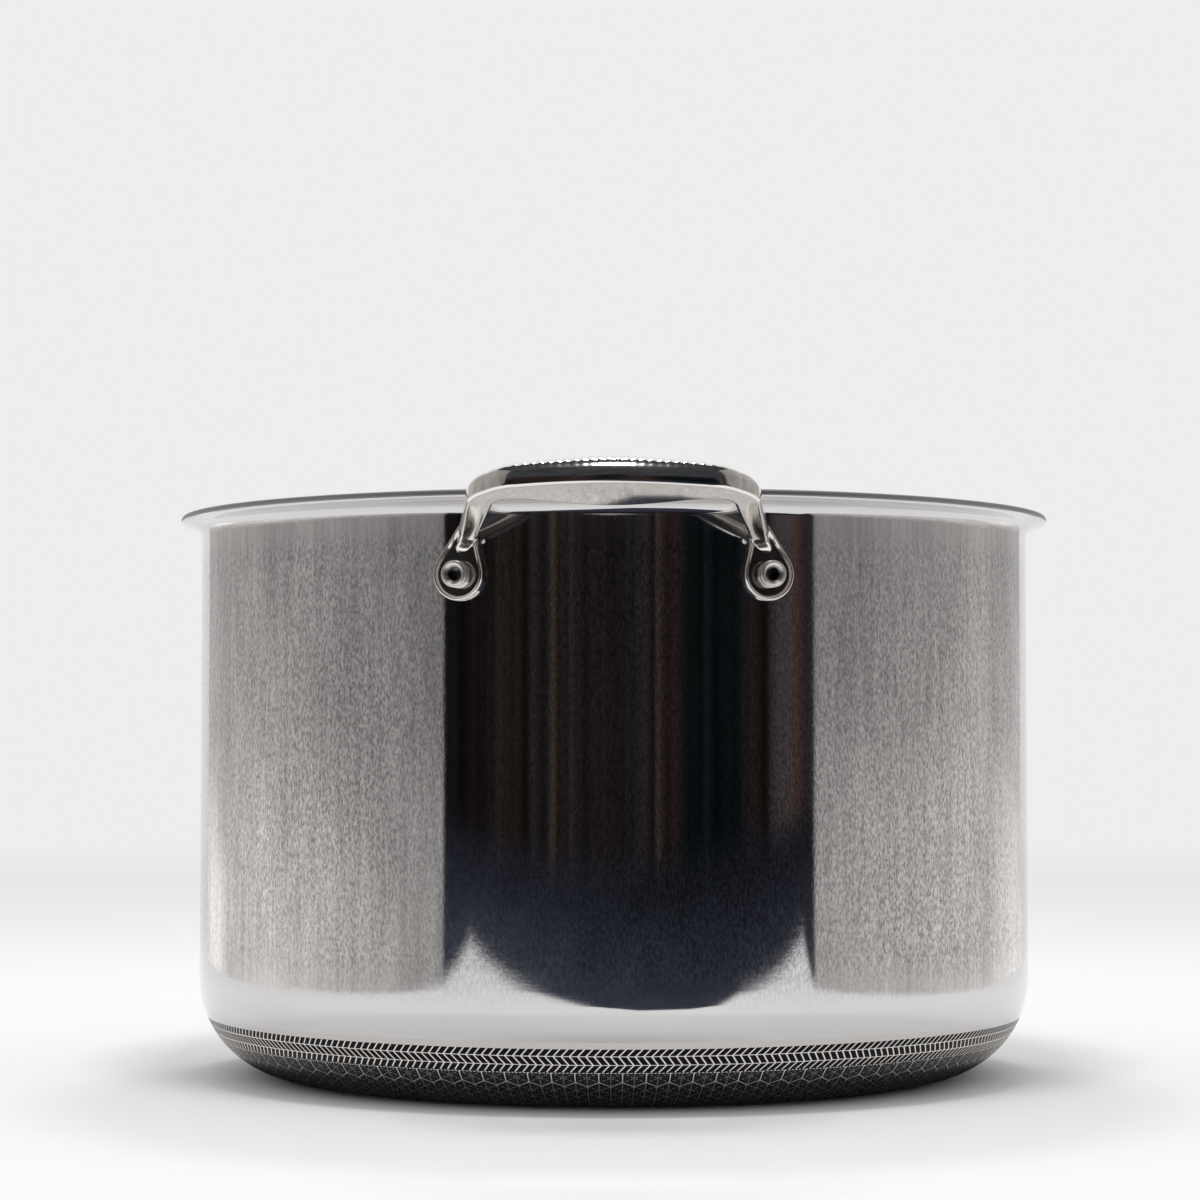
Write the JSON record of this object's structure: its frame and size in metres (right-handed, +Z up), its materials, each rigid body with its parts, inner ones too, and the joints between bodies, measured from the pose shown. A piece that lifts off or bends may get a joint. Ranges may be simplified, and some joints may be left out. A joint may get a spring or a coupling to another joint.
{
  "type": "stock pot",
  "caption": "Open two-handled stock pot of clad stainless steel with a flared pouring rim, riveted loop handles and a black etched non-stick zone around its lower corner",
  "frame": {"origin": "middle of the base, on the plane that the pot rests on", "axes": "+Z up through the open mouth; one handle towards -Y (front) and one towards +Y (rear); +X to the right seen from the front handle"},
  "size_m": [0.2727, 0.345, 0.18],
  "materials": {
    "outer_steel": "fine circumferential brushing",
    "core": "cut edge, plain",
    "inner_steel": "satin, fine circumferential brushing",
    "band_coating": "black fluoropolymer, semi-gloss, around raised steel lines",
    "base_coating": "black fluoropolymer, semi-gloss, around raised steel lines",
    "inside_coating": "black fluoropolymer, satin, around raised steel lines",
    "handle_steel": "cast and polished, with a dimpled grip",
    "rivet_steel": "turned, satin",
    "collar_steel": "turned, polished edge"
  },
  "bodies": {
    "root": {"outer_steel_skin": "outer_steel", "aluminium_core": "core", "inner_steel_skin": "inner_steel", "side_band_coating": "band_coating", "underside_coating": "base_coating", "interior_coating": "inside_coating", "front_handle": "handle_steel", "rear_handle": "handle_steel", "front_left_rivet": "rivet_steel", "front_left_collar": "collar_steel", "front_right_rivet": "rivet_steel", "front_right_collar": "collar_steel", "rear_left_rivet": "rivet_steel", "rear_left_collar": "collar_steel", "rear_right_rivet": "rivet_steel", "rear_right_collar": "collar_steel"}
  },
  "joints": []
}
